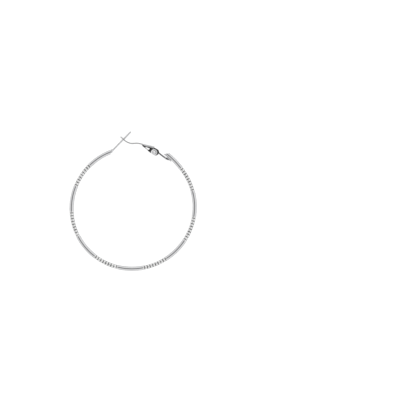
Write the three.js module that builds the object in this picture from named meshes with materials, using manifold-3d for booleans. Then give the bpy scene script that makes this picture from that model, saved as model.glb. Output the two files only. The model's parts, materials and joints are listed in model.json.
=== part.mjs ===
// Silver-tone hoop earring lying on its side, as one separate piece of jewellery.
// A round wire with six ribbed sections is bent into an open hoop. A straight ear post is soldered
// to one end and a tang with an eye to the other. A forked lever turns on a rivet through the eye
// and closes over the post. The hoop lies in the XY plane and the rivet runs along Z.

import * as THREE from 'three';
import { mergeVertices } from 'three/addons/utils/BufferGeometryUtils.js';
import Module from 'manifold-3d';

// Hoop wire, in millimetres, with angles measured round the hoop in degrees from +X
const OUTER_DIAMETER = 60;
const WIRE_DIAMETER = 2;
const OUT_OF_ROUND = 0.3;
const LONG_AXIS_ANGLE = 30;
const GAP_WIDTH = 25.97;
const GAP_MIDDLE_ANGLE = 84.9;
const POST_END_TURNS_IN = 0.25;
const POST_END_TURN_SPAN = 38.5;
const TANG_END_FLARE = 0.98;
const TANG_END_FLARE_SPAN = 28.3;
const POST_END_CUT_SLANT = 36;
const TANG_END_CUT_SLANT = 40;
const CUT_BLEND_SPAN = 6;
const WIRE_SIDES = 12;
const PLAIN_STEP = 1.7;
const DIRECTION_STEP = 0.2;

// Ribbed sections cut round the wire
const RIBBED_SECTIONS = 6;
const FIRST_SECTION_ANGLE = 147.4;
const SECTION_SPACING_ANGLE = 48.04;
const GROOVES_PER_SECTION = 9;
const GROOVE_PITCH = 1.35;
const GROOVE_DEPTH = 0.17;
const GROOVE_SHARPNESS = 4;
const GROOVE_STEPS = 6;

// Ear post, with its foot measured from the middle of the wire's end
const POST_DIAMETER = 0.8;
const POST_LENGTH = 13.4;
const POST_ROOT = 0.6;
const POST_LEAN = 45.8;
const POST_FOOT = [0.03, 0];
const POST_TIP_CHAMFER = 0.12;
const POST_SIDES = 12;

// Hinge rivet, measured from the middle of the wire's other end, and the tang's eye round it
const RIVET_CENTRE = [-5.9, 0.59];
const RIVET_SHANK_RADIUS = 0.38;
const RUNNING_CLEARANCE = 0.07;
const RIVET_HEAD_RADIUS = 0.72;
const RIVET_HEAD_HEIGHT = 0.32;
const RIVET_HEAD_EDGE = 0.09;
const RIVET_HEAD_RIM_SHARE = 0.92;
const RIVET_HEAD_TOP_SHARE = 0.7;
const HEAD_GAP = 0.03;
const EYE_WALL = 0.35;
const EYE_THICKNESS = 1.2;
const ROUND_SIDES = 24;

// Tang, measured from the rivet
const TANG_WIDTH = 0.8;
const TANG_PATH = [
  [0.3, 0.21], [1.05, 0.31], [2.03, -0.19], [3.45, -1.29], [5.05, -2.47], [6.3, -3.12], [7.6, -3.4],
];
const TANG_FOOT_WIDTH = 1.0;
const TANG_FOOT_THICKNESS = 0.9;
const TANG_FOOT_FROM_SHARE = 0.68;
const TANG_FOOT_TO_SHARE = 0.8;
const TANG_STEPS = 18;
const TANG_CORNER = 0.18;

// Stamped lever, measured from the rivet.
// Its arm is drawn for a post at LEVER_REACH and stretched to the real one.
const LEVER_REACH = 14.72;
const SHEET_THICKNESS = 0.4;
const CHANNEL_SIDE_GAP = 0.1;
const BEND_RADIUS = 0.5;
const BEND_STEPS = 4;
const CHANNEL_LEG = 0.42;
const FORK_WIDTH = 2.6;
const FORK_TIP_NARROWING = 0.82;
const FORK_TIP_SHARE = 0.05;
const NOTCH_CLEARANCE = 0.125;
const NOTCH_STEPS = 12;
const SHEET_EDGE = 0.08;
const LEVER_PATH = [
  [-15.98, 7.4], [-15.25, 6.86], [-14.52, 6.18], [-13.71, 5.44], [-12.89, 4.93], [-11.98, 4.54],
  [-11.15, 4.26], [-10.33, 4.21], [-9.35, 4.28], [-8.45, 4.32], [-7.45, 4.26], [-6.33, 4.01],
  [-5.24, 3.78], [-3.79, 3.44], [-1.61, 2.98], [-0.65, 2.71], [0.1, 2.48],
];
const CHANNEL_START = -5.85;
const ARM_OVERLAP = 0.8;
const ARM_NARROWS_FROM_SHARE = 0.35;
const ARM_NARROWS_TO_SHARE = 0.75;
const LEVER_STEPS = 48;
const CHEEK_OUTLINE = [
  [-5.65, 3.16], [-5.2, 2.64], [-4.45, 2.31], [-3.65, 2.48], [-2.1, 1.86], [-2.25, 1.38], [-3.0, 1.06],
  [-2.97, 0.76], [-0.45, -1.27], [0.35, -1.54], [1.15, -1.44], [1.95, -0.84], [2.35, 0.26], [2.05, 1.11],
  [0.8, 1.86], [0.15, 2.18], [-0.65, 2.44], [-1.61, 2.71], [-3.79, 3.17], [-5.24, 3.51], [-5.75, 3.62],
];

// Snap tongue folded back inside the lever, measured from the rivet
const TONGUE_PATH = [
  [-5.7, 3.76], [-5.53, 3.31], [-5.0, 2.76], [-4.05, 1.96], [-2.75, 0.86], [-1.55, -0.14], [-0.65, -0.89],
];
const TONGUE_THICKNESS = 0.3;
const TONGUE_EDGE = 0.06;
const TONGUE_STEPS = 14;

// Vertices closer than this are joined after the pieces are united
const JOIN_TOLERANCE = 0.004;

// Vertices of one loft closer than this are the same vertex
const WELD_TOLERANCE = 1e-5;

// Cutting bodies run this far past the metal
const CUT_OVERRUN = 2.2;

const degrees = Math.PI / 180;
const bendRadius = (OUTER_DIAMETER - WIRE_DIAMETER) / 2;
const halfGapAngle = Math.asin(GAP_WIDTH / 2 / bendRadius) / degrees;
const postEndAngle = GAP_MIDDLE_ANGLE + halfGapAngle;
const tangEndAngle = 360 + GAP_MIDDLE_ANGLE - halfGapAngle;
const rivet = centreline(tangEndAngle).add(new THREE.Vector2(...RIVET_CENTRE));
const postFoot = centreline(postEndAngle).add(new THREE.Vector2(...POST_FOOT));
const postAlong = heading(POST_LEAN);
const postDistance = Math.abs(postAlong.cross(rivet.clone().sub(postFoot)));
const armStretch = (postDistance + CHANNEL_START) / (LEVER_REACH + CHANNEL_START);
const holeRadius = RIVET_SHANK_RADIUS + RUNNING_CLEARANCE;
const cheekInside = EYE_THICKNESS / 2 + CHANNEL_SIDE_GAP;
const cheekOutside = cheekInside + SHEET_THICKNESS;

function heading(angle) {
  return new THREE.Vector2(Math.cos(angle * degrees), Math.sin(angle * degrees));
}

function fromRivet(points) {
  return points.map(([x, y]) => new THREE.Vector2(rivet.x + x, rivet.y + y));
}

// Joins rings of points into one closed body, the ends capped by the triangles of an outline
function loft(rings, outline) {
  const count = rings[0].length;
  const index = [];
  for (let ring = 0; ring + 1 < rings.length; ring++) {
    for (let side = 0; side < count; side++) {
      const next = (side + 1) % count;
      const a = ring * count + side;
      const b = ring * count + next;
      const c = (ring + 1) * count + side;
      const d = (ring + 1) * count + next;
      index.push(a, b, c, b, d, c);
    }
  }
  const last = (rings.length - 1) * count;
  const clockwise = THREE.ShapeUtils.isClockWise(outline);
  for (const triangle of THREE.ShapeUtils.triangulateShape(outline, [])) {
    const [a, b, c] = clockwise ? triangle.reverse() : triangle;
    index.push(a, c, b, last + a, last + b, last + c);
  }
  const geometry = new THREE.BufferGeometry().setFromPoints(rings.flat());
  geometry.setIndex(index);
  if (volume(geometry) < 0) index.reverse();
  geometry.setIndex(index);
  return geometry;
}

function volume(geometry) {
  const position = geometry.attributes.position;
  const index = geometry.index;
  const corners = [new THREE.Vector3(), new THREE.Vector3(), new THREE.Vector3()];
  let sum = 0;
  for (let i = 0; i < index.count; i += 3) {
    corners.forEach((corner, k) => corner.fromBufferAttribute(position, index.getX(i + k)));
    sum += corners[0].dot(corners[1].cross(corners[2])) / 6;
  }
  return sum;
}

function circle(radius, sides) {
  return Array.from({ length: sides }, (_, side) => {
    const turn = (side / sides) * 2 * Math.PI;
    return new THREE.Vector2(radius * Math.cos(turn), radius * Math.sin(turn));
  });
}

// Bar section with cut corners: across is measured in the plane of the hoop, tall along Z
function barSection(across, tall, chamfer) {
  const x = across / 2;
  const y = tall / 2;
  return [
    [x, y - chamfer], [x - chamfer, y], [chamfer - x, y], [-x, y - chamfer],
    [-x, chamfer - y], [chamfer - x, -y], [x - chamfer, -y], [x, chamfer - y],
  ].map(([a, b]) => new THREE.Vector2(a, b));
}

// Sections carried along a path in the plane of the hoop
function sweep(path, sectionAt) {
  const rings = path.map((point, i) => {
    const before = path[Math.max(i - 1, 0)];
    const after = path[Math.min(i + 1, path.length - 1)];
    const along = after.clone().sub(before).normalize();
    return sectionAt(i / (path.length - 1)).map(
      (p) => new THREE.Vector3(point.x - along.y * p.x, point.y + along.x * p.x, p.y),
    );
  });
  return loft(rings, sectionAt(0));
}

function smoothPath(points, count) {
  return new THREE.SplineCurve(fromRivet(points)).getSpacedPoints(count);
}

// Round bar along Z given as [z, radius] stations
function turned(stations, sides, centre) {
  const rings = stations.map(([z, radius]) =>
    circle(radius, sides).map((p) => new THREE.Vector3(centre.x + p.x, centre.y + p.y, z)),
  );
  return loft(rings, circle(1, sides));
}

function plate(outline, zLow, zHigh) {
  const flat = fromRivet(outline);
  const rings = [zLow, zHigh].map((z) => flat.map((p) => new THREE.Vector3(p.x, p.y, z)));
  return loft(rings, flat);
}

// Centreline of the hoop wire, nearly round, with its two ends sprung a little in and out
function centreline(angle) {
  const nearPost = Math.max(0, 1 - (angle - postEndAngle) / POST_END_TURN_SPAN);
  const nearTang = Math.max(0, 1 - (tangEndAngle - angle) / TANG_END_FLARE_SPAN);
  const radius = bendRadius
    + OUT_OF_ROUND * Math.cos(2 * (angle - LONG_AXIS_ANGLE) * degrees)
    - POST_END_TURNS_IN * nearPost ** 2
    + TANG_END_FLARE * nearTang ** 2;
  return heading(angle).multiplyScalar(radius);
}

function outward(angle) {
  const along = centreline(angle + DIRECTION_STEP).sub(centreline(angle - DIRECTION_STEP)).normalize();
  return new THREE.Vector2(along.y, -along.x);
}

// Stations round the wire, each with the depth cut away there
function wireStations() {
  const stations = [];
  const pitchAngle = GROOVE_PITCH / bendRadius / degrees;
  const plainStepAngle = PLAIN_STEP / bendRadius / degrees;
  const plain = (from, to) => {
    const steps = Math.max(2, Math.round((to - from) / plainStepAngle));
    for (let i = 0; i < steps; i++) stations.push([from + ((to - from) * i) / steps, 0]);
  };
  let reached = postEndAngle;
  for (let section = 0; section < RIBBED_SECTIONS; section++) {
    const middle = FIRST_SECTION_ANGLE + section * SECTION_SPACING_ANGLE;
    const start = middle - (GROOVES_PER_SECTION * pitchAngle) / 2;
    const steps = GROOVES_PER_SECTION * GROOVE_STEPS;
    plain(reached, start);
    for (let i = 0; i < steps; i++) {
      const phase = (i % GROOVE_STEPS) / GROOVE_STEPS;
      const depth = GROOVE_DEPTH * Math.sin(phase * Math.PI) ** GROOVE_SHARPNESS;
      stations.push([start + (i / GROOVE_STEPS) * pitchAngle, depth]);
    }
    reached = start + GROOVES_PER_SECTION * pitchAngle;
  }
  plain(reached, tangEndAngle);
  stations.push([tangEndAngle, 0]);
  return stations;
}

function hoopWire() {
  const rings = wireStations().map(([angle, depth]) => {
    const postFade = Math.max(0, 1 - (angle - postEndAngle) / CUT_BLEND_SPAN);
    const tangFade = Math.max(0, 1 - (tangEndAngle - angle) / CUT_BLEND_SPAN);
    const slant = Math.tan(POST_END_CUT_SLANT * degrees) * postFade
      + Math.tan(TANG_END_CUT_SLANT * degrees) * tangFade;
    return circle(WIRE_DIAMETER / 2 - depth, WIRE_SIDES).map((p) => {
      const here = angle - (p.x * slant) / (centreline(angle).length() * degrees);
      const point = centreline(here).addScaledVector(outward(here), p.x);
      return new THREE.Vector3(point.x, point.y, p.y);
    });
  });
  return loft(rings, circle(1, WIRE_SIDES));
}

function earPost() {
  const radius = POST_DIAMETER / 2;
  const stations = [
    [-POST_ROOT, radius], [POST_LENGTH - POST_TIP_CHAMFER, radius], [POST_LENGTH, radius - POST_TIP_CHAMFER],
  ];
  const rings = stations.map(([distance, r]) =>
    circle(r, POST_SIDES).map((p) => {
      const point = postFoot.clone().addScaledVector(postAlong, distance);
      return new THREE.Vector3(point.x - postAlong.y * p.x, point.y + postAlong.x * p.x, p.y);
    }),
  );
  return loft(rings, circle(1, POST_SIDES));
}

function tang() {
  return sweep(smoothPath(TANG_PATH, TANG_STEPS), (share) => {
    const foot = THREE.MathUtils.smoothstep(share, TANG_FOOT_FROM_SHARE, TANG_FOOT_TO_SHARE);
    const across = THREE.MathUtils.lerp(TANG_WIDTH, TANG_FOOT_WIDTH, foot);
    const tall = THREE.MathUtils.lerp(EYE_THICKNESS, TANG_FOOT_THICKNESS, foot);
    return barSection(across, tall, TANG_CORNER);
  });
}

function eye() {
  const radius = holeRadius + EYE_WALL;
  return turned([[-EYE_THICKNESS / 2, radius], [EYE_THICKNESS / 2, radius]], ROUND_SIDES, rivet);
}

// Flat arm of the lever, wide at the fork and narrow where it becomes a channel
function leverArm(path) {
  const armWidth = 2 * (cheekOutside - HEAD_GAP);
  const arm = path.filter((point) => point.x - rivet.x < CHANNEL_START + ARM_OVERLAP);
  return sweep(arm, (share) => {
    const tip = THREE.MathUtils.lerp(FORK_TIP_NARROWING, 1, Math.min(1, share / FORK_TIP_SHARE));
    const narrowed = THREE.MathUtils.smoothstep(share, ARM_NARROWS_FROM_SHARE, ARM_NARROWS_TO_SHARE);
    const width = THREE.MathUtils.lerp(FORK_WIDTH, armWidth, narrowed);
    return barSection(SHEET_THICKNESS - JOIN_TOLERANCE, width * tip, SHEET_EDGE);
  });
}

// Channel of bent sheet that starts at the end of the arm and covers the eye
function leverChannel(path) {
  const back = path.filter((point) => point.x - rivet.x > CHANNEL_START);
  const outer = [];
  const inner = [];
  const innerRadius = BEND_RADIUS - SHEET_THICKNESS;
  const corner = [SHEET_THICKNESS / 2 - BEND_RADIUS, cheekOutside - BEND_RADIUS];
  for (let i = 0; i <= BEND_STEPS; i++) {
    const turn = (i / BEND_STEPS) * 90 * degrees;
    outer.push([corner[0] + BEND_RADIUS * Math.sin(turn), corner[1] + BEND_RADIUS * Math.cos(turn)]);
    inner.push([corner[0] + innerRadius * Math.sin(turn), corner[1] + innerRadius * Math.cos(turn)]);
  }
  const leg = -SHEET_THICKNESS / 2 - CHANNEL_LEG;
  const right = [[leg, cheekOutside], ...outer];
  const rightInner = [[leg, cheekInside], ...inner];
  const mirror = (points) => points.map(([n, z]) => [n, -z]).reverse();
  const section = [...right, ...mirror(right), ...mirror(rightInner).reverse(), ...rightInner.reverse()]
    .map(([n, z]) => new THREE.Vector2(n, z));
  return sweep(back, () => section);
}

function leverTongue() {
  const section = barSection(TONGUE_THICKNESS, EYE_THICKNESS, TONGUE_EDGE);
  return sweep(smoothPath(TONGUE_PATH, TONGUE_STEPS), () => section);
}

// Open notch in the fork with a round end, where the post lies
function notchCut(path) {
  const half = POST_DIAMETER / 2 + NOTCH_CLEARANCE;
  const offPost = (point) => Math.abs(point.distanceTo(rivet) - postDistance);
  const start = path.reduce((best, point) => (offPost(point) < offPost(best) ? point : best));
  const along = path[0].clone().sub(start).normalize();
  const across = new THREE.Vector2(-along.y, along.x);
  const outline = [];
  for (let i = 0; i <= NOTCH_STEPS; i++) {
    const turn = Math.PI / 2 + (i / NOTCH_STEPS) * Math.PI;
    outline.push(new THREE.Vector2(half * Math.cos(turn), half * Math.sin(turn)));
  }
  const beyondTip = start.distanceTo(path[0]) + FORK_WIDTH;
  outline.push(new THREE.Vector2(beyondTip, -half), new THREE.Vector2(beyondTip, half));
  const rings = [-FORK_WIDTH, FORK_WIDTH].map((height) =>
    outline.map((p) => {
      const point = start.clone().addScaledVector(along, p.x).addScaledVector(across, height);
      return new THREE.Vector3(point.x, point.y, p.y);
    }),
  );
  return loft(rings, outline);
}

const wasm = await Module();
wasm.setup();

function toSolid(geometry) {
  const merged = mergeVertices(geometry, WELD_TOLERANCE);
  return new wasm.Manifold(new wasm.Mesh({
    numProp: 3,
    vertProperties: new Float32Array(merged.attributes.position.array),
    triVerts: new Uint32Array(merged.index.array),
  }));
}

function toGeometry(solid) {
  const mesh = solid.getMesh();
  const geometry = new THREE.BufferGeometry();
  const points = new Float32Array((mesh.vertProperties.length / mesh.numProp) * 3);
  for (let i = 0; i < points.length / 3; i++) {
    for (let k = 0; k < 3; k++) points[i * 3 + k] = mesh.vertProperties[i * mesh.numProp + k];
  }
  geometry.setAttribute('position', new THREE.BufferAttribute(points, 3));
  geometry.setIndex(Array.from(mesh.triVerts));
  geometry.computeVertexNormals();
  return geometry;
}

function mesh(name, geometry, color, roughness) {
  const material = new THREE.MeshStandardMaterial({ color, metalness: 1, roughness });
  const object = new THREE.Mesh(geometry, material);
  object.name = name;
  return object;
}

// The wire, post and tang are soldered metal and make one solid
const holeEnd = cheekOutside + CUT_OVERRUN;
const rivetHole = toSolid(turned([[-holeEnd, holeRadius], [holeEnd, holeRadius]], ROUND_SIDES, rivet));
const hoop = toSolid(hoopWire())
  .add(toSolid(earPost()))
  .add(toSolid(tang()))
  .add(toSolid(eye()))
  .subtract(rivetHole)
  .simplify(JOIN_TOLERANCE);

const leverPath = smoothPath(
  LEVER_PATH.map(([x, y]) => [x < CHANNEL_START ? CHANNEL_START + (x - CHANNEL_START) * armStretch : x, y]),
  LEVER_STEPS,
);
const lever = toSolid(leverArm(leverPath))
  .subtract(toSolid(notchCut(leverPath)))
  .add(toSolid(leverChannel(leverPath)))
  .add(toSolid(plate(CHEEK_OUTLINE, cheekInside, cheekOutside)))
  .add(toSolid(plate(CHEEK_OUTLINE, -cheekOutside, -cheekInside)))
  .add(toSolid(leverTongue()))
  .subtract(rivetHole)
  .simplify(JOIN_TOLERANCE);

const headFace = cheekOutside + HEAD_GAP;
const headEnd = headFace + RIVET_HEAD_HEIGHT;
const headRim = headEnd - RIVET_HEAD_EDGE;
const headRimRadius = RIVET_HEAD_RADIUS * RIVET_HEAD_RIM_SHARE;
const headTopRadius = RIVET_HEAD_RADIUS * RIVET_HEAD_TOP_SHARE;
const rivetShape = turned([
  [-headEnd, headTopRadius], [-headRim, headRimRadius], [-headFace, RIVET_HEAD_RADIUS],
  [-headFace, RIVET_SHANK_RADIUS], [headFace, RIVET_SHANK_RADIUS],
  [headFace, RIVET_HEAD_RADIUS], [headRim, headRimRadius], [headEnd, headTopRadius],
], ROUND_SIDES, rivet);

const earring = new THREE.Group();
earring.name = 'hoop_earring';
earring.add(
  mesh('hoop', toGeometry(hoop), 0xc8cbce, 0.2),
  mesh('lever', toGeometry(lever), 0xc4c7ca, 0.22),
  mesh('rivet', rivetShape, 0xcfd2d4, 0.25),
);

// The middle of the underside of the whole box goes to the origin
earring.updateMatrixWorld(true);
const box = new THREE.Box3().setFromObject(earring);
earring.children.forEach((piece) => {
  piece.geometry.translate(-(box.min.x + box.max.x) / 2, -(box.min.y + box.max.y) / 2, -box.min.z);
});

export default earring;
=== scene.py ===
import json
import math

import bpy
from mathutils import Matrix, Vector


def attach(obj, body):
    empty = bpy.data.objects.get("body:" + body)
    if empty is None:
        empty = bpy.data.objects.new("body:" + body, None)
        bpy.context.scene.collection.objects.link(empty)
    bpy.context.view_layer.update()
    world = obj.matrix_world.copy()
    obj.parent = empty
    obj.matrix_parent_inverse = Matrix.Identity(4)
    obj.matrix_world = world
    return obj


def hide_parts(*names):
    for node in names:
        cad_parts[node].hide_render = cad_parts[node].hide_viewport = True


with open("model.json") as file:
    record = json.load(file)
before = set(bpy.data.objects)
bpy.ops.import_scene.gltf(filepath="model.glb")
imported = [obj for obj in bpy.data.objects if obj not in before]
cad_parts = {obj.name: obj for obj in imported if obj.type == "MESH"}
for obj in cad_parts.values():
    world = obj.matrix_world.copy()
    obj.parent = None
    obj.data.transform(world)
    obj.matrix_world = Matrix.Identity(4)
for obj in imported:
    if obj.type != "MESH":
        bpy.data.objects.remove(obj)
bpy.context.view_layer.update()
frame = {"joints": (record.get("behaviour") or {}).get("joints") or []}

# Hoop wire. A straight 2 mm wire of plated brass is ribbed in six places between rollers, bent into
# a hoop and cut off slantwise at both ends. It is nearly round, and its hinge end is sprung outward.
# It lies level, and its place is measured from the hinge rivet.
MM = 0.001
MIDDLE_TO_RIVET = Vector((9.94, 26.238, 0)) * MM
rivet_centre = Vector(frame["joints"][0]["pos_m"])
hoop_centre = rivet_centre - MIDDLE_TO_RIVET
WIRE_RADIUS = 1.0 * MM
HOOP_RADIUS = 29.0 * MM
WIRE_SIDES = 32
WIRE_RINGS = 1400
POST_END = 111.5
HINGE_END = 418.3
WIRE_OVERRUN = 2.2
OUT_OF_ROUND = 0.3 * MM
LONG_AXIS = 30
POST_TURN_FROM = 150
POST_TURN_IN = 0.25 * MM
HINGE_FLARE_FROM = 390
HINGE_FLARE = 0.98 * MM
BEND_STEP = 0.25
POST_END_SLANT = 36
HINGE_END_SLANT = 40
CUT_REACH = 4 * MM
DIRECTION_STEP = 0.2
END_ROUNDING = 0.06 * MM
RIBBED_SECTIONS = 6
FIRST_SECTION = 147.4
SECTION_SPACING = 48.04
GROOVES = 9
GROOVE_PITCH = 2.667
GROOVE_DEPTH = 0.17 * MM
# How narrowly the painted shade sits in the bottom of each groove.
GROOVE_SHADE_NARROWNESS = 6


def hoop_radius(angle):
    near_post = max(0.0, (POST_TURN_FROM - angle) / (POST_TURN_FROM - POST_END))
    near_hinge = max(0.0, (angle - HINGE_FLARE_FROM) / (HINGE_END - HINGE_FLARE_FROM))
    oval = OUT_OF_ROUND * math.cos(math.radians(2 * (angle - LONG_AXIS)))
    return HOOP_RADIUS + oval - POST_TURN_IN * near_post ** 2 + HINGE_FLARE * near_hinge ** 2


def hoop_point(angle):
    turn = math.radians(angle)
    return hoop_centre + hoop_radius(angle) * Vector((math.cos(turn), math.sin(turn), 0))


bend_angles = [POST_END - WIRE_OVERRUN]
bend_lengths = [0.0]
while bend_angles[-1] < HINGE_END + WIRE_OVERRUN:
    next_angle = bend_angles[-1] + BEND_STEP
    step = (hoop_point(next_angle) - hoop_point(bend_angles[-1])).length
    bend_angles.append(next_angle)
    bend_lengths.append(bend_lengths[-1] + step)


def angle_at(length):
    share = length / bend_lengths[-1] * (len(bend_angles) - 1)
    low = min(int(share), len(bend_angles) - 2)
    while bend_lengths[low] > length and low > 0:
        low -= 1
    while low < len(bend_lengths) - 2 and bend_lengths[low + 1] < length:
        low += 1
    part = (length - bend_lengths[low]) / (bend_lengths[low + 1] - bend_lengths[low])
    return bend_angles[low] + part * (bend_angles[low + 1] - bend_angles[low])


def rib_turn(angle):
    section = round((angle - FIRST_SECTION) / SECTION_SPACING)
    if section < 0 or section >= RIBBED_SECTIONS:
        return 0.0
    place = angle - FIRST_SECTION - section * SECTION_SPACING + GROOVES * GROOVE_PITCH / 2
    if place < 0 or place > GROOVES * GROOVE_PITCH:
        return 0.0
    return math.pi * place / GROOVE_PITCH


def clear_selection():
    if bpy.context.object and bpy.context.object.mode != "OBJECT":
        bpy.ops.object.mode_set(mode="OBJECT")
    bpy.ops.object.select_all(action="DESELECT")


def bending_guide(name, points):
    line = bpy.data.curves.new(name, "CURVE")
    line.dimensions = "3D"
    line.twist_mode = "Z_UP"
    track = line.splines.new("POLY")
    track.points.add(len(points) - 1)
    for knot, point in zip(track.points, points):
        knot.co = (*point, 1)
    guide = bpy.data.objects.new(name, line)
    bpy.context.collection.objects.link(guide)
    return guide


def bend_along(piece, guide):
    bend = piece.modifiers.new("bend", "CURVE")
    bend.object = guide
    bend.deform_axis = "POS_X"


wire_length = bend_lengths[-1]
clear_selection()
bpy.ops.mesh.primitive_circle_add(vertices=WIRE_SIDES, radius=WIRE_RADIUS, rotation=(0, math.pi / 2, 0))
wire = bpy.context.object
bpy.ops.object.transform_apply(location=True, rotation=True, scale=True)
drawn = wire.modifiers.new("drawn", "SCREW")
drawn.axis = "X"
drawn.angle = 0
drawn.screw_offset = wire_length
drawn.steps = WIRE_RINGS
drawn.render_steps = WIRE_RINGS
bpy.ops.object.modifier_apply(modifier=drawn.name)
bpy.ops.object.mode_set(mode="EDIT")
bpy.ops.mesh.select_all(action="SELECT")
bpy.ops.mesh.normals_make_consistent(inside=False)
bpy.ops.object.mode_set(mode="OBJECT")

rib_turns = [rib_turn(angle_at(vertex.co.x)) for vertex in wire.data.vertices]
groove_depths = [math.sin(turn) ** 2 for turn in rib_turns]
# Painted shade: how dark each point of the wire is coloured, strongest in the groove bottoms, where shade
# falls.
groove_shade_depths = [math.sin(turn) ** GROOVE_SHADE_NARROWNESS for turn in rib_turns]
grooves = wire.vertex_groups.new(name="grooves")
for number, depth in enumerate(groove_depths):
    if depth > 0:
        grooves.add([number], depth, "REPLACE")
# The painted groove shade is kept on the wire as a point attribute for its material.
painted_groove_shade = wire.data.attributes.new("painted_groove_shade", "FLOAT", "POINT")
painted_groove_shade.data.foreach_set("value", groove_shade_depths)
# Marks the ribbed sections, which the material colours lighter as a painted highlight.
ribbed = wire.data.attributes.new("ribbed", "FLOAT", "POINT")
ribbed.data.foreach_set("value", [float(turn > 0) for turn in rib_turns])
rollers = wire.modifiers.new("rollers", "DISPLACE")
rollers.vertex_group = "grooves"
rollers.strength = -GROOVE_DEPTH
rollers.mid_level = 0.0
hoop_guide = bending_guide("hoop_guide", [hoop_point(angle) for angle in bend_angles])
bend_along(wire, hoop_guide)
clear_selection()
wire.select_set(True)
bpy.context.view_layer.objects.active = wire
bpy.ops.object.modifier_apply(modifier="rollers")
bpy.ops.object.modifier_apply(modifier="bend")
bpy.data.objects.remove(hoop_guide)


def select_points(piece, wanted):
    bpy.ops.object.mode_set(mode="EDIT")
    bpy.ops.mesh.select_mode(type="VERT")
    bpy.ops.mesh.select_all(action="DESELECT")
    bpy.ops.object.mode_set(mode="OBJECT")
    for vertex in piece.data.vertices:
        vertex.select = wanted(vertex)
    bpy.ops.object.mode_set(mode="EDIT")


def cut_end(angle, slant, gap_side):
    along = (hoop_point(angle + DIRECTION_STEP) - hoop_point(angle - DIRECTION_STEP)).normalized() * gap_side
    across = Vector((along.y, -along.x, 0))
    normal = (along + across * math.tan(math.radians(slant))).normalized()
    near = hoop_point(angle)
    select_points(wire, lambda vertex: (vertex.co - near).length < CUT_REACH)
    bpy.ops.mesh.bisect(plane_co=near, plane_no=normal, use_fill=True, clear_outer=True, threshold=1e-7)
    bpy.ops.object.mode_set(mode="OBJECT")


def finish_shape(piece, name, smooth_angle):
    clear_selection()
    piece.name = name
    piece.select_set(True)
    bpy.context.view_layer.objects.active = piece
    for modifier in list(piece.modifiers):
        bpy.ops.object.modifier_apply(modifier=modifier.name)
    bpy.ops.object.transform_apply(location=True, rotation=True, scale=True)
    bpy.ops.object.mode_set(mode="EDIT")
    bpy.ops.mesh.select_all(action="SELECT")
    bpy.ops.mesh.remove_doubles(threshold=0.000002)
    bpy.ops.mesh.normals_make_consistent(inside=False)
    bpy.ops.object.mode_set(mode="OBJECT")
    bpy.ops.object.shade_smooth_by_angle(angle=math.radians(smooth_angle))
    even = piece.modifiers.new("even shading", "WEIGHTED_NORMAL")
    even.keep_sharp = True
    bpy.ops.object.modifier_apply(modifier=even.name)
    piece.data.name = name


cut_end(POST_END, POST_END_SLANT, -1)
cut_end(HINGE_END, HINGE_END_SLANT, 1)
rounding = wire.modifiers.new("rounding", "BEVEL")
rounding.width = END_ROUNDING
rounding.segments = 2
rounding.limit_method = "ANGLE"
rounding.angle_limit = math.radians(40)
finish_shape(wire, "hoop_wire", smooth_angle=30)

# Every piece is plated after it is made. Handling leaves hairline scratches and faint smears with a faint
# patchy film. The ribbed sections get a painted highlight, a lighter colour for the light their rounded lands
# catch, and the grooves get painted shade, a dark colour.
# Strength of the painted shade in the grooves, and of the faint smear film everywhere else.
PAINTED_GROOVE_SHADE = 2.4
FILM_ELSEWHERE = 0.12
# Lighter colour of the ribbed sections, a painted highlight for the light their rounded lands catch.
PAINTED_RIB_HIGHLIGHT = (0.7, 0.7, 0.7, 1)


# Colour of the plating: scratches and smears, painted shade in the grooves and a painted highlight on the
# ribbed sections.
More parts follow.
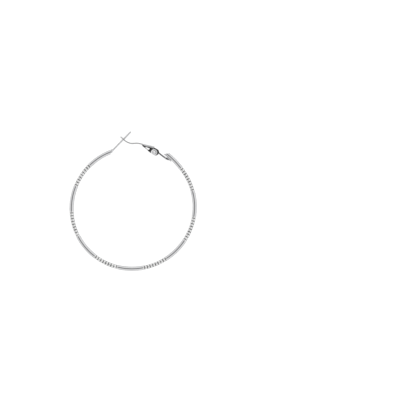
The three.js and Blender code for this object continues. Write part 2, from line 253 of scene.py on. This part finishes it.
def build_wear_and_painted_light():
    group = bpy.data.node_groups.new("wear_and_painted_light", "ShaderNodeTree")
    group.interface.new_socket("Scratch Scale", in_out="INPUT", socket_type="NodeSocketFloat")
    group.interface.new_socket("Base Roughness", in_out="INPUT", socket_type="NodeSocketFloat")
    group.interface.new_socket("Smear", in_out="INPUT", socket_type="NodeSocketFloat")
    group.interface.new_socket("Bright", in_out="INPUT", socket_type="NodeSocketColor")
    group.interface.new_socket("Film And Shade", in_out="INPUT", socket_type="NodeSocketColor")
    group.interface.new_socket("Colour", in_out="OUTPUT", socket_type="NodeSocketColor")
    group.interface.new_socket("Roughness", in_out="OUTPUT", socket_type="NodeSocketFloat")
    group.interface.new_socket("Height", in_out="OUTPUT", socket_type="NodeSocketFloat")
    nodes = group.nodes
    link = group.links.new
    given = nodes.new("NodeGroupInput")
    result = nodes.new("NodeGroupOutput")
    place = nodes.new("ShaderNodeTexCoord")

    stretch = nodes.new("ShaderNodeMapping")
    stretch.inputs["Scale"].default_value = (1.0, 0.12, 0.5)
    stretch.inputs["Rotation"].default_value = (0.0, 0.3, 0.7)
    link(place.outputs["Object"], stretch.inputs["Vector"])
    scratches = nodes.new("ShaderNodeTexNoise")
    scratches.inputs["Detail"].default_value = 3.0
    scratches.inputs["Roughness"].default_value = 0.7
    link(stretch.outputs["Vector"], scratches.inputs["Vector"])
    link(given.outputs["Scratch Scale"], scratches.inputs["Scale"])

    smears = nodes.new("ShaderNodeTexNoise")
    smears.inputs["Scale"].default_value = 260.0
    smears.inputs["Detail"].default_value = 2.0
    link(place.outputs["Object"], smears.inputs["Vector"])
    smear_size = nodes.new("ShaderNodeMath")
    smear_size.operation = "MULTIPLY"
    link(smears.outputs["Fac"], smear_size.inputs[0])
    link(given.outputs["Smear"], smear_size.inputs[1])
    rough = nodes.new("ShaderNodeMath")
    rough.operation = "ADD"
    link(smear_size.outputs["Value"], rough.inputs[0])
    link(given.outputs["Base Roughness"], rough.inputs[1])
    link(rough.outputs["Value"], result.inputs["Roughness"])

    # Painted shade: the wire's grooves are coloured towards the dark film colour, and a faint film follows
    # the smears elsewhere.
    painted_groove_shade = nodes.new("ShaderNodeAttribute")
    painted_groove_shade.attribute_name = "painted_groove_shade"
    film_and_groove_shade = nodes.new("ShaderNodeMath")
    film_and_groove_shade.operation = "MULTIPLY_ADD"
    film_and_groove_shade.inputs[1].default_value = PAINTED_GROOVE_SHADE
    film_and_groove_shade.inputs[2].default_value = FILM_ELSEWHERE
    link(painted_groove_shade.outputs["Fac"], film_and_groove_shade.inputs[0])
    patchy = nodes.new("ShaderNodeMath")
    patchy.operation = "MULTIPLY"
    link(film_and_groove_shade.outputs["Value"], patchy.inputs[0])
    link(smears.outputs["Fac"], patchy.inputs[1])
    ribbed = nodes.new("ShaderNodeAttribute")
    ribbed.attribute_name = "ribbed"
    # Painted highlight: the ribbed sections get the lighter colour.
    brighter = nodes.new("ShaderNodeMix")
    brighter.data_type = "RGBA"
    brighter.inputs[7].default_value = PAINTED_RIB_HIGHLIGHT
    link(ribbed.outputs["Fac"], brighter.inputs["Factor"])
    link(given.outputs["Bright"], brighter.inputs[6])
    film_and_shade = nodes.new("ShaderNodeMix")
    film_and_shade.data_type = "RGBA"
    link(patchy.outputs["Value"], film_and_shade.inputs["Factor"])
    link(brighter.outputs[2], film_and_shade.inputs[6])
    link(given.outputs["Film And Shade"], film_and_shade.inputs[7])
    link(film_and_shade.outputs[2], result.inputs["Colour"])
    link(scratches.outputs["Fac"], result.inputs["Height"])
    return group


wear_and_painted_light = build_wear_and_painted_light()


def plated(name, bright, film_and_shade, roughness, smear, scratch_scale, scratch_depth):
    material = bpy.data.materials.new(name)
    material.use_nodes = True
    nodes = material.node_tree.nodes
    link = material.node_tree.links.new
    skin = nodes["Principled BSDF"]
    skin.inputs["Metallic"].default_value = 1.0
    skin.inputs["Specular Tint"].default_value = (0.5, 0.5, 0.5, 1)
    wear_and_light_node = nodes.new("ShaderNodeGroup")
    wear_and_light_node.node_tree = wear_and_painted_light
    wear_and_light_node.inputs["Bright"].default_value = (*bright, 1)
    wear_and_light_node.inputs["Film And Shade"].default_value = (*film_and_shade, 1)
    wear_and_light_node.inputs["Base Roughness"].default_value = roughness
    wear_and_light_node.inputs["Smear"].default_value = smear
    wear_and_light_node.inputs["Scratch Scale"].default_value = scratch_scale
    bump = nodes.new("ShaderNodeBump")
    bump.inputs["Strength"].default_value = 0.35
    bump.inputs["Distance"].default_value = scratch_depth
    link(wear_and_light_node.outputs["Colour"], skin.inputs["Base Color"])
    link(wear_and_light_node.outputs["Roughness"], skin.inputs["Roughness"])
    link(wear_and_light_node.outputs["Height"], bump.inputs["Height"])
    link(bump.outputs["Normal"], skin.inputs["Normal"])
    return material


# The dark film colour of the wire is also the colour of the painted shade in its grooves.
wire_plating = plated(
    "wire_plating", bright=(0.55, 0.55, 0.56), film_and_shade=(0.08, 0.08, 0.08),
    roughness=0.06, smear=0.12, scratch_scale=5200, scratch_depth=0.000006,
)
wire.data.materials.append(wire_plating)
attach(wire, "hoop_body")
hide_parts("hoop")

# Ear post. A straight 0.8 mm steel wire with a rounded tip, soldered into the slanted end of the
# hoop so that it leaves at about 45 degrees and goes through the ear.
POST_RADIUS = 0.4 * MM
POST_LENGTH = 13.4 * MM
POST_ROOT = 0.5 * MM
TIP_ROUNDING = 0.26 * MM
POST_LEAN = math.radians(45.8)
post_along = Vector((math.cos(POST_LEAN), math.sin(POST_LEAN), 0))


def on_hoop(x, y):
    return hoop_centre + Vector((x, y, 0)) * MM


def select_faces(piece, wanted):
    bpy.ops.object.mode_set(mode="EDIT")
    bpy.ops.mesh.select_mode(type="FACE")
    bpy.ops.mesh.select_all(action="DESELECT")
    bpy.ops.object.mode_set(mode="OBJECT")
    for face in piece.data.polygons:
        face.select = wanted(face)
    bpy.ops.object.mode_set(mode="EDIT")


post_foot = on_hoop(-10.40, 26.48)
clear_selection()
bpy.ops.mesh.primitive_cylinder_add(
    vertices=32, radius=POST_RADIUS, depth=POST_LENGTH + POST_ROOT,
    location=post_foot + post_along * (POST_LENGTH - POST_ROOT) / 2,
    rotation=(0, math.pi / 2, POST_LEAN),
)
post = bpy.context.object
bpy.ops.object.transform_apply(location=True, rotation=True, scale=True)
select_faces(post, lambda face: face.normal.dot(post_along) > 0.9)
bpy.ops.mesh.bevel(offset=TIP_ROUNDING, segments=6, affect="EDGES")
bpy.ops.object.mode_set(mode="OBJECT")
finish_shape(post, "ear_post", smooth_angle=40)
post_plating = plated(
    "post_plating", bright=(0.54, 0.54, 0.55), film_and_shade=(0.4, 0.39, 0.37),
    roughness=0.14, smear=0.15, scratch_scale=9000, scratch_depth=0.00001,
)
post.data.materials.append(post_plating)
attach(post, "hoop_body")
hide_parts("hoop")

# Solder. It ran round the foot of the ear post and along the tang where it lies against the wire,
# and was plated over with the rest, so it shows as a soft uneven swelling at each joint. A burr is
# left where the wire was cut off beside the post.
solder_lumps = bpy.data.textures.new("solder_lumps", "CLOUDS")
solder_lumps.noise_scale = 0.9 * MM


def solder(name, place, size, turn, lumps):
    clear_selection()
    bpy.ops.mesh.primitive_uv_sphere_add(segments=40, ring_count=24, radius=1, location=place)
    bead = bpy.context.object
    bead.scale = Vector(size) * MM
    bead.rotation_euler.z = math.radians(turn)
    bpy.ops.object.transform_apply(location=True, rotation=True, scale=True)
    uneven = bead.modifiers.new("uneven", "DISPLACE")
    uneven.texture = solder_lumps
    uneven.texture_coords = "GLOBAL"
    uneven.strength = lumps * MM
    uneven.mid_level = 0.5
    finish_shape(bead, name, smooth_angle=60)
    bead.data.materials.append(wire_plating)
    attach(bead, "hoop_body")
    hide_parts("hoop")


solder("post_solder", on_hoop(-10.2, 26.7), size=(0.95, 0.62, 0.68), turn=45.8, lumps=0.08)
solder("tang_solder", on_hoop(17.0, 23.1), size=(1.5, 0.42, 0.55), turn=-52, lumps=0.15)
solder("cut_burr", on_hoop(-10.2, 27.5), size=(0.35, 0.2, 0.25), turn=30, lumps=0.03)

# Tang. A short brass bar with squared sides, pressed lower and wider where it lies against the hoop
# and is soldered to it. The eye at its other end holds the lever's rivet.
TANG_PATH = (
    (10.24, 26.45), (10.99, 26.55), (11.97, 26.05), (13.39, 24.95), (14.99, 23.77), (16.24, 23.12),
    (17.54, 22.84),
)
TANG_WIDTH = 0.8 * MM
EYE_RADIUS = 0.8 * MM
EYE_THICKNESS = 1.2 * MM
HOLE_RADIUS = 0.45 * MM
EYE_DRILL = 4 * MM
TANG_SLICES = 60
TANG_TALL = 1.4
FOOT_FROM = 0.66
FOOT_BLEND = 0.1
FOOT_SPREAD = 0.25
FOOT_THINNING = 0.3
ON_SLICE = 1e-7


def smooth_line(points, count):
    line = bpy.data.curves.new("smooth_line", "CURVE")
    line.dimensions = "3D"
    track = line.splines.new("BEZIER")
    track.bezier_points.add(len(points) - 1)
    track.resolution_u = count
    for knot, point in zip(track.bezier_points, points):
        knot.co = point
        knot.handle_left_type = "AUTO"
        knot.handle_right_type = "AUTO"
    carrier = bpy.data.objects.new("smooth_line", line)
    bpy.context.collection.objects.link(carrier)
    bpy.context.view_layer.update()
    flat = carrier.to_mesh()
    found = [vertex.co.copy() for vertex in flat.vertices]
    carrier.to_mesh_clear()
    bpy.data.objects.remove(carrier)
    return found


def line_length(points):
    return sum((b - a).length for a, b in zip(points, points[1:]))


tang_line = smooth_line([on_hoop(*point) for point in TANG_PATH], 10)
tang_length = line_length(tang_line)
clear_selection()
bpy.ops.mesh.primitive_cube_add(size=1, location=(tang_length / 2, 0, 0))
tang = bpy.context.object
tang.scale = (tang_length, TANG_WIDTH, TANG_WIDTH)
bpy.ops.object.transform_apply(location=True, rotation=True, scale=True)


def slice_across(piece, length, slices):
    bpy.ops.object.mode_set(mode="EDIT")
    for cut in range(1, slices):
        bpy.ops.mesh.select_all(action="SELECT")
        bpy.ops.mesh.bisect(plane_co=(length * cut / slices, 0, 0), plane_no=(1, 0, 0))
    bpy.ops.object.mode_set(mode="OBJECT")


def squeeze(piece, place, width, height):
    select_points(piece, lambda vertex: abs(vertex.co.x - place) < ON_SLICE)
    bpy.ops.transform.resize(value=(1, width, height), center_override=(place, 0, 0))
    bpy.ops.object.mode_set(mode="OBJECT")


def soften(piece, width):
    edges = piece.modifiers.new("soft edges", "BEVEL")
    edges.width = width
    edges.segments = 3
    edges.limit_method = "ANGLE"
    edges.angle_limit = math.radians(35)


slice_across(tang, tang_length, TANG_SLICES)
for cut in range(TANG_SLICES + 1):
    flat = min(1.0, max(0.0, (cut / TANG_SLICES - FOOT_FROM) / FOOT_BLEND))
    squeeze(tang, tang_length * cut / TANG_SLICES, 1 + FOOT_SPREAD * flat, TANG_TALL - FOOT_THINNING * flat)
tang_guide = bending_guide("tang_guide", tang_line)
soften(tang, width=0.15 * MM)
bend_along(tang, tang_guide)
finish_shape(tang, "tang", smooth_angle=40)
bpy.data.objects.remove(tang_guide)
tang_plating = plated(
    "tang_plating", bright=(0.5, 0.5, 0.51), film_and_shade=(0.25, 0.24, 0.23),
    roughness=0.08, smear=0.08, scratch_scale=7000, scratch_depth=0.00001,
)
tang.data.materials.append(tang_plating)
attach(tang, "hoop_body")
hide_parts("hoop")


def pierce(piece, drill_length):
    clear_selection()
    bpy.ops.mesh.primitive_cylinder_add(
        vertices=48, radius=HOLE_RADIUS, depth=drill_length, location=rivet_centre,
    )
    drill = bpy.context.object
    hole = piece.modifiers.new("hole", "BOOLEAN")
    hole.operation = "DIFFERENCE"
    hole.object = drill
    bpy.context.view_layer.objects.active = piece
    bpy.ops.object.modifier_apply(modifier="hole")
    bpy.data.objects.remove(drill)


clear_selection()
bpy.ops.mesh.primitive_cylinder_add(
    vertices=64, radius=EYE_RADIUS, depth=EYE_THICKNESS, location=rivet_centre,
)
eye = bpy.context.object
bpy.ops.object.transform_apply(location=True, rotation=True, scale=True)
pierce(eye, EYE_DRILL)
soften(eye, width=0.08 * MM)
finish_shape(eye, "eye", smooth_angle=40)
eye.data.materials.append(tang_plating)
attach(eye, "hoop_body")
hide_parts("hoop")

# Lever arm. A blank stamped from plated steel sheet, notched at the tip and bent so that it rises
# over the ear post like a forked tail. The post lies in the notch when the lever is shut.
SHEET = 0.4 * MM
ARM_THICKNESS = 0.5 * MM
FORK_WIDTH = 2.6 * MM
BACK_WIDTH = 2.2 * MM
NOTCH_WIDTH = 1.05 * MM
NOTCH_END = 14.23 * MM
ARM_PATH = (
    (-6.03, 33.64), (-5.3, 33.1), (-4.57, 32.42), (-3.76, 31.68), (-2.94, 31.17), (-2.03, 30.78),
    (-1.2, 30.5), (-0.38, 30.45), (0.6, 30.52), (1.5, 30.56), (2.5, 30.5), (3.62, 30.25),
    (4.71, 30.02), (6.16, 29.68), (8.34, 29.22), (9.3, 28.95), (10.05, 28.72),
)
CHANNEL_START = 4.1
ARM_OVERLAP = 0.5
NOTCH_ROUNDING = 0.46
TIP_CORNER = 0.3 * MM
AT_CORNER = 1e-5
ARM_SLICES = 70
ARM_NARROWS_FROM = 0.38
ARM_NARROWS_OVER = 0.35


def ease(share):
    share = min(1.0, max(0.0, share))
    return share * share * (3 - 2 * share)


arm_line = smooth_line([on_hoop(*point) for point in ARM_PATH], 8)
arm_end = on_hoop(CHANNEL_START + ARM_OVERLAP, 0).x
front_line = [point for point in arm_line if point.x <= arm_end]
arm_length = line_length(front_line)
reach = 0.0
for first, second in zip(front_line, front_line[1:]):
    if (second - rivet_centre).length < NOTCH_END:
        break
    reach += (second - first).length

clear_selection()
bpy.ops.mesh.primitive_plane_add(size=1, rotation=(math.pi / 2, 0, 0), location=(arm_length / 2, 0, 0))
arm = bpy.context.object
arm.scale = (arm_length, FORK_WIDTH, 1)
bpy.ops.object.transform_apply(location=True, rotation=True, scale=True)
bpy.ops.object.mode_set(mode="EDIT")
bpy.ops.mesh.select_all(action="SELECT")
bpy.ops.mesh.bisect(plane_co=(0, 0, NOTCH_WIDTH / 2), plane_no=(0, 0, 1))
bpy.ops.mesh.select_all(action="SELECT")
bpy.ops.mesh.bisect(plane_co=(0, 0, -NOTCH_WIDTH / 2), plane_no=(0, 0, 1))
bpy.ops.mesh.select_all(action="SELECT")
bpy.ops.mesh.bisect(plane_co=(reach, 0, 0), plane_no=(1, 0, 0))
bpy.ops.object.mode_set(mode="OBJECT")
select_faces(arm, lambda face: face.center.x < reach and abs(face.center.z) < NOTCH_WIDTH / 2)
bpy.ops.mesh.delete(type="FACE")
select_points(arm, lambda vertex: (
    abs(vertex.co.x - reach) < AT_CORNER and abs(abs(vertex.co.z) - NOTCH_WIDTH / 2) < AT_CORNER
))
bpy.ops.mesh.bevel(offset=NOTCH_WIDTH * NOTCH_ROUNDING, segments=8, affect="VERTICES")
select_points(arm, lambda vertex: vertex.co.x < AT_CORNER)
bpy.ops.mesh.bevel(offset=TIP_CORNER, segments=5, affect="VERTICES")
slice_across(arm, arm_length, ARM_SLICES)
for cut in range(ARM_SLICES + 1):
    narrow = ease((cut / ARM_SLICES - ARM_NARROWS_FROM) / ARM_NARROWS_OVER)
    if narrow > 0:
        squeeze(arm, arm_length * cut / ARM_SLICES, 1, 1 + narrow * (BACK_WIDTH / FORK_WIDTH - 1))
gauge = arm.modifiers.new("sheet", "SOLIDIFY")
gauge.thickness = ARM_THICKNESS
gauge.offset = 0
soften(arm, width=0.16 * MM)
arm_guide = bending_guide("arm_guide", front_line)
bend_along(arm, arm_guide)
finish_shape(arm, "lever_arm", smooth_angle=35)
bpy.data.objects.remove(arm_guide)
sheared_plating = plated(
    "sheared_plating", bright=(0.52, 0.52, 0.53), film_and_shade=(0.38, 0.37, 0.35),
    roughness=0.32, smear=0.12, scratch_scale=6000, scratch_depth=0.00002,
)
arm.data.materials.append(sheared_plating)
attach(arm, "lever_body")
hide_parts("lever")

# Lever back. Behind the arm the steel sheet is bent down on both sides into a channel with rounded
# edges, whose sides start shallow and grow towards the hinge. It covers the eye.
BACK_HEIGHT = 1.0 * MM
BACK_DROP = 0.25 * MM
BEND_RADIUS = 0.5 * MM
BACK_SLICES = 30
LEG_START = 0.45
LEG_RISE = 0.45
back_start = on_hoop(CHANNEL_START, 0).x
back_line = [point for point in arm_line if point.x >= back_start]
back_length = line_length(back_line)
clear_selection()
bpy.ops.mesh.primitive_cube_add(size=1, location=(back_length / 2, -BACK_DROP, 0))
back = bpy.context.object
back.scale = (back_length, BACK_HEIGHT, BACK_WIDTH)
bpy.ops.object.transform_apply(location=True, rotation=True, scale=True)
select_faces(back, lambda face: abs(face.normal.x) > 0.9 or face.normal.y < -0.9)
bpy.ops.mesh.delete(type="FACE")
bpy.ops.mesh.select_mode(type="EDGE")
bpy.ops.mesh.select_all(action="DESELECT")
bpy.ops.object.mode_set(mode="OBJECT")
for edge in back.data.edges:
    a, b = (back.data.vertices[i].co for i in edge.vertices)
    edge.select = abs(a.x - b.x) > back_length / 2 and min(a.y, b.y) > 0
bpy.ops.object.mode_set(mode="EDIT")
bpy.ops.mesh.bevel(offset=BEND_RADIUS, segments=8, affect="EDGES")
slice_across(back, back_length, BACK_SLICES)
for cut in range(BACK_SLICES + 1):
    place = back_length * cut / BACK_SLICES
    leg = LEG_START + (1 - LEG_START) * ease(cut / BACK_SLICES / LEG_RISE)
    for vertex in back.data.vertices:
        if abs(vertex.co.x - place) < ON_SLICE and vertex.co.y < 0:
            vertex.co.y *= leg
gauge = back.modifiers.new("sheet", "SOLIDIFY")
gauge.thickness = SHEET
gauge.offset = -1
soften(back, width=0.05 * MM)
back_guide = bending_guide("back_guide", back_line)
bend_along(back, back_guide)
finish_shape(back, "lever_back", smooth_angle=35)
bpy.data.objects.remove(back_guide)
back.data.materials.append(sheared_plating)
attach(back, "lever_body")
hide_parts("lever")

# Lever cheeks. The two flat sides of the channel, wedge-shaped towards the arm and rounded over the
# hinge, each pierced for the rivet, dished round it and scooped below where the tongue shows.
CHEEK_OUTLINE = (
    (4.3, 29.4), (4.75, 28.88), (5.5, 28.55), (6.3, 28.72), (7.85, 28.1), (7.7, 27.62), (6.95, 27.3),
    (6.98, 27.0), (9.5, 24.97), (10.3, 24.7), (11.1, 24.8), (11.9, 25.4), (12.3, 26.5), (12.0, 27.35),
    (10.75, 28.1), (10.1, 28.42), (9.3, 28.68), (8.34, 28.95), (6.16, 29.41), (4.71, 29.75), (4.2, 29.86),
)
CHEEK_INSIDE = 0.7 * MM
DISH_RADIUS = 1.5 * MM
DISH_CURVE = 3.5 * MM
CHEEK_THICKNESS = SHEET - 0.01 * MM
CORNER_ROUNDING = 0.16 * MM
CHEEK_DRILL = 5 * MM
lever_plating = plated(
    "lever_plating", bright=(0.64, 0.64, 0.65), film_and_shade=(0.38, 0.37, 0.35),
    roughness=0.05, smear=0.1, scratch_scale=6000, scratch_depth=0.00001,
)


def press_dish(plate, side):
    clear_selection()
    face_height = side * (CHEEK_INSIDE + SHEET)
    ball_height = face_height + side * math.sqrt(DISH_CURVE ** 2 - DISH_RADIUS ** 2)
    bpy.ops.mesh.primitive_uv_sphere_add(
        segments=96, ring_count=96, radius=DISH_CURVE, location=rivet_centre + Vector((0, 0, ball_height)),
    )
    ball = bpy.context.object
    dish = plate.modifiers.new("dish", "BOOLEAN")
    dish.operation = "DIFFERENCE"
    dish.object = ball
    bpy.context.view_layer.objects.active = plate
    bpy.ops.object.modifier_apply(modifier="dish")
    bpy.data.objects.remove(ball)


def cheek(name, side):
    clear_selection()
    bpy.ops.mesh.primitive_circle_add(vertices=len(CHEEK_OUTLINE), radius=MM, fill_type="NGON")
    plate = bpy.context.object
    for vertex, (x, y) in zip(plate.data.vertices, CHEEK_OUTLINE):
        vertex.co = on_hoop(x, y) + Vector((0, 0, side * CHEEK_INSIDE))
    bpy.ops.object.mode_set(mode="EDIT")
    bpy.ops.mesh.select_all(action="SELECT")
    bpy.ops.mesh.bevel(offset=CORNER_ROUNDING, segments=4, affect="VERTICES")
    bpy.ops.mesh.select_all(action="SELECT")
    bpy.ops.mesh.extrude_region_move(TRANSFORM_OT_translate={"value": (0, 0, side * CHEEK_THICKNESS)})
    bpy.ops.mesh.select_all(action="SELECT")
    bpy.ops.mesh.normals_make_consistent(inside=False)
    bpy.ops.object.mode_set(mode="OBJECT")
    pierce(plate, CHEEK_DRILL)
    press_dish(plate, side)
    soften(plate, width=0.07 * MM)
    finish_shape(plate, name, smooth_angle=35)
    plate.data.materials.append(lever_plating)
    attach(plate, "lever_body")
    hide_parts("lever")


cheek("upper_cheek", 1)
cheek("lower_cheek", -1)

# Snap tongue. A narrow steel leaf, thinner than the rest of the lever, folded back inside the channel.
# It springs against the eye and holds the lever shut.
TONGUE_PATH = ((4.25, 30.0), (4.42, 29.55), (4.95, 29.0), (5.9, 28.2), (7.2, 27.1), (8.4, 26.1), (9.3, 25.35))
TONGUE_THICKNESS = 0.3 * MM
TONGUE_WIDTH = 1.2 * MM
TONGUE_SLICES = 40
tongue_line = smooth_line([on_hoop(*point) for point in TONGUE_PATH], 8)
tongue_length = line_length(tongue_line)
clear_selection()
bpy.ops.mesh.primitive_plane_add(size=1, rotation=(math.pi / 2, 0, 0), location=(tongue_length / 2, 0, 0))
tongue = bpy.context.object
tongue.scale = (tongue_length, TONGUE_WIDTH, 1)
bpy.ops.object.transform_apply(location=True, rotation=True, scale=True)
slice_across(tongue, tongue_length, TONGUE_SLICES)
gauge = tongue.modifiers.new("sheet", "SOLIDIFY")
gauge.thickness = TONGUE_THICKNESS
gauge.offset = 0
soften(tongue, width=0.05 * MM)
tongue_guide = bending_guide("tongue_guide", tongue_line)
bend_along(tongue, tongue_guide)
finish_shape(tongue, "snap_tongue", smooth_angle=35)
bpy.data.objects.remove(tongue_guide)
tongue.data.materials.append(lever_plating)
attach(tongue, "lever_body")
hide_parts("lever")

# Rivet. A soft metal pin pushed through both cheeks and the eye, then spun over at each end into a
# low domed head with a small dimple left by the tool.
SHANK_RADIUS = 0.38 * MM
HEAD_RADIUS = 0.72 * MM
HEAD_HEIGHT = 0.32 * MM
HEAD_FACE = 1.13 * MM
SHANK_LENGTH = 2.1 * HEAD_FACE
DIMPLE_RADIUS = 0.22 * MM
DIMPLE_STEP = 0.03 * MM
DIMPLE_DEPTH = 0.05 * MM
NEAR_TOP = 0.1 * MM
clear_selection()
bpy.ops.mesh.primitive_cylinder_add(
    vertices=48, radius=SHANK_RADIUS, depth=SHANK_LENGTH, location=rivet_centre,
)
rivet = bpy.context.object
soften(rivet, width=0.03 * MM)
heads = []
for side in (1, -1):
    face_centre = rivet_centre + Vector((0, 0, side * HEAD_FACE))
    bpy.ops.mesh.primitive_uv_sphere_add(segments=64, ring_count=32, radius=HEAD_RADIUS, location=face_centre)
    head = bpy.context.object
    bpy.ops.object.transform_apply(location=True, rotation=True, scale=True)
    bpy.ops.object.mode_set(mode="EDIT")
    bpy.ops.mesh.select_all(action="SELECT")
    bpy.ops.mesh.bisect(
        plane_co=face_centre, plane_no=(0, 0, -side), use_fill=True, clear_outer=True, threshold=1e-7,
    )
    bpy.ops.mesh.select_all(action="SELECT")
    bpy.ops.transform.resize(value=(1, 1, HEAD_HEIGHT / HEAD_RADIUS), center_override=face_centre)
    bpy.ops.object.mode_set(mode="OBJECT")
    top = face_centre.z + side * HEAD_HEIGHT
    select_faces(head, lambda face: (
        (face.center.xy - rivet_centre.xy).length < DIMPLE_RADIUS and abs(face.center.z - top) < NEAR_TOP
    ))
    bpy.ops.mesh.inset(thickness=DIMPLE_STEP, depth=-DIMPLE_DEPTH)
    bpy.ops.object.mode_set(mode="OBJECT")
    heads.append(head)
    clear_selection()
for head in heads:
    head.select_set(True)
rivet.select_set(True)
bpy.context.view_layer.objects.active = rivet
bpy.ops.object.join()
finish_shape(rivet, "rivet_pin", smooth_angle=40)
rivet_plating = plated(
    "rivet_plating", bright=(0.75, 0.75, 0.76), film_and_shade=(0.4, 0.39, 0.37),
    roughness=0.12, smear=0.15, scratch_scale=9000, scratch_depth=0.00001,
)
rivet.data.materials.append(rivet_plating)
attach(rivet, "lever_body")
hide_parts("rivet")

# Floor. A plain white sheet that the earring lies on.
clear_selection()
bpy.ops.mesh.primitive_plane_add(size=3, location=(0, 0, 0))
floor = bpy.context.object
floor.name = "floor"
paper = bpy.data.materials.new("white_sheet")
paper.use_nodes = True
paper_skin = paper.node_tree.nodes["Principled BSDF"]
paper_skin.inputs["Base Color"].default_value = (0.3, 0.3, 0.3, 1)
paper_skin.inputs["Roughness"].default_value = 0.9
paper_skin.inputs["Emission Color"].default_value = (1, 1, 1, 1)
paper_skin.inputs["Emission Strength"].default_value = 0.8
floor.data.materials.append(paper)

# Light. A white tent all round, with a wide grey opening a little left of overhead and a small black
# one straight above, which draw the dark lines along polished metal.
TENT_BRIGHTNESS = 1.35
tent = bpy.data.worlds.new("light_tent")
bpy.context.scene.world = tent
tent.use_nodes = True
tent_nodes = tent.node_tree.nodes
tent_link = tent.node_tree.links.new
sky = tent_nodes["Background"]
direction = tent_nodes.new("ShaderNodeTexCoord")


def tent_opening(towards, inner, outer, depth):
    aim = tent_nodes.new("ShaderNodeVectorMath")
    aim.operation = "DOT_PRODUCT"
    aim.inputs[1].default_value = Vector(towards).normalized()
    tent_link(direction.outputs["Generated"], aim.inputs[0])
    edge = tent_nodes.new("ShaderNodeMapRange")
    edge.interpolation_type = "SMOOTHSTEP"
    edge.inputs["From Min"].default_value = math.cos(math.radians(outer))
    edge.inputs["From Max"].default_value = math.cos(math.radians(inner))
    edge.inputs["To Min"].default_value = 1.0
    edge.inputs["To Max"].default_value = 1.0 - depth
    tent_link(aim.outputs["Value"], edge.inputs["Value"])
    return edge.outputs["Result"]


both = tent_nodes.new("ShaderNodeMath")
both.operation = "MULTIPLY"
grey_opening = tent_opening(towards=(-0.25, -0.05, 0.97), inner=8, outer=50, depth=0.5)
black_opening = tent_opening(towards=(0.0, 0.0, 1.0), inner=5, outer=15, depth=0.94)
tent_link(grey_opening, both.inputs[0])
tent_link(black_opening, both.inputs[1])
brightness = tent_nodes.new("ShaderNodeMath")
brightness.operation = "MULTIPLY"
brightness.inputs[1].default_value = TENT_BRIGHTNESS
tent_link(both.outputs["Value"], brightness.inputs[0])
tent_link(brightness.outputs["Value"], sky.inputs["Strength"])
sky.inputs["Color"].default_value = (1, 1, 1, 1)

# Camera. It looks straight down from far off, with the framing of a picture that is 189 mm wide.
FRAME_WIDTH = 0.1894
CAMERA_HEIGHT = 0.8
SENSOR_WIDTH = 36
frame_centre = on_hoop(31.64, 3.69)
clear_selection()
bpy.ops.object.camera_add(location=(frame_centre.x, frame_centre.y, CAMERA_HEIGHT), rotation=(0, 0, 0))
camera = bpy.context.object
camera.data.sensor_width = SENSOR_WIDTH
camera.data.lens = SENSOR_WIDTH * (CAMERA_HEIGHT - rivet_centre.z) / FRAME_WIDTH
camera.data.clip_start = 0.01
bpy.context.scene.view_settings.view_transform = "Standard"
bpy.context.scene.camera = camera
